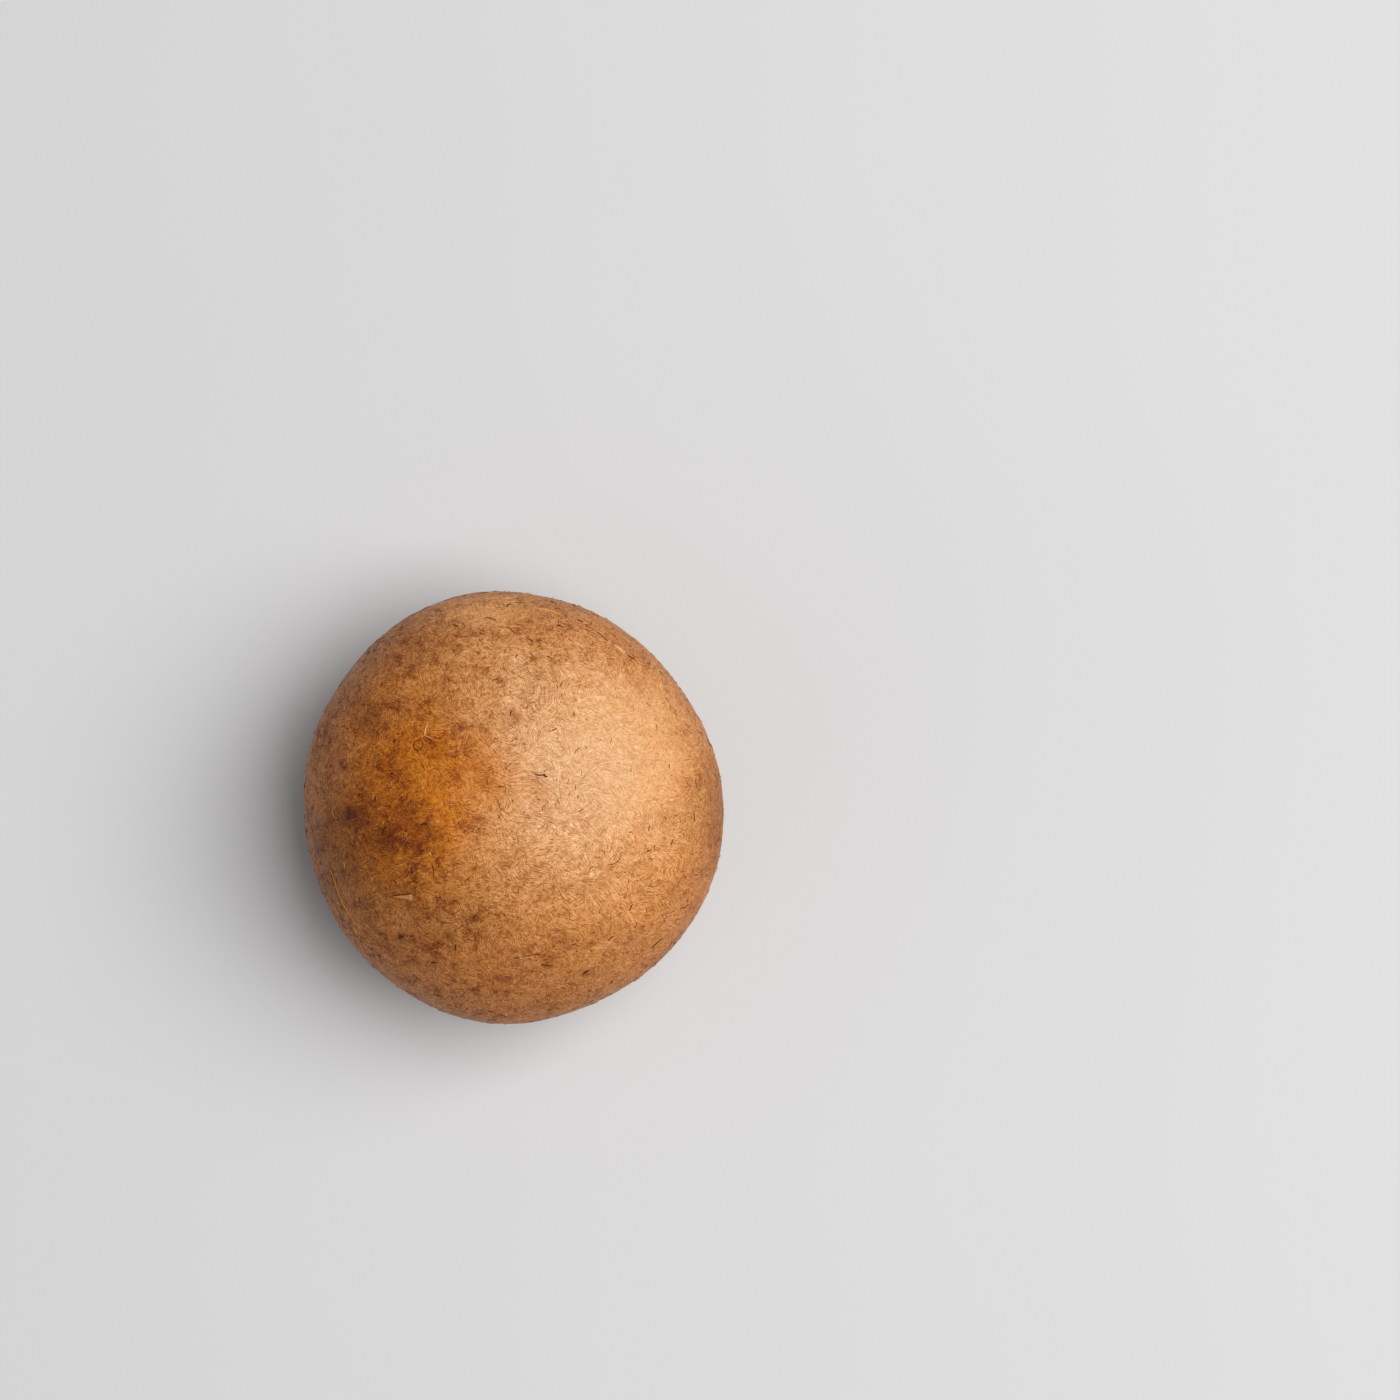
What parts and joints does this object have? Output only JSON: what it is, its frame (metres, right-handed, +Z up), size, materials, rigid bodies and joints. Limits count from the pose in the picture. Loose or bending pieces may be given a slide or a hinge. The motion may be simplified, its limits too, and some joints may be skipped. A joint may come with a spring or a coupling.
{
  "type": "portobello mushroom",
  "caption": "Whole brown mushroom with a round domed cap, a rolled margin, gills in a ring-shaped hollow and a short trimmed stem that it stands on.",
  "frame": {"origin": "under the middle of the cap's outline, on the surface that the stem's cut end stands on", "axes": "+Z up from the stem's cut end to the top of the cap, +X and +Y across and along the cap's outline"},
  "size_m": [0.0832, 0.0856, 0.054],
  "materials": {
    "cap_skin": "matt felted brown skin with a faint sheen",
    "gills": "matt chocolate brown",
    "stem_flesh": "matt fibrous cream",
    "veil": "matt thin membrane, cream"
  },
  "bodies": {
    "root": {"mushroom": "cap_skin"}
  },
  "joints": []
}
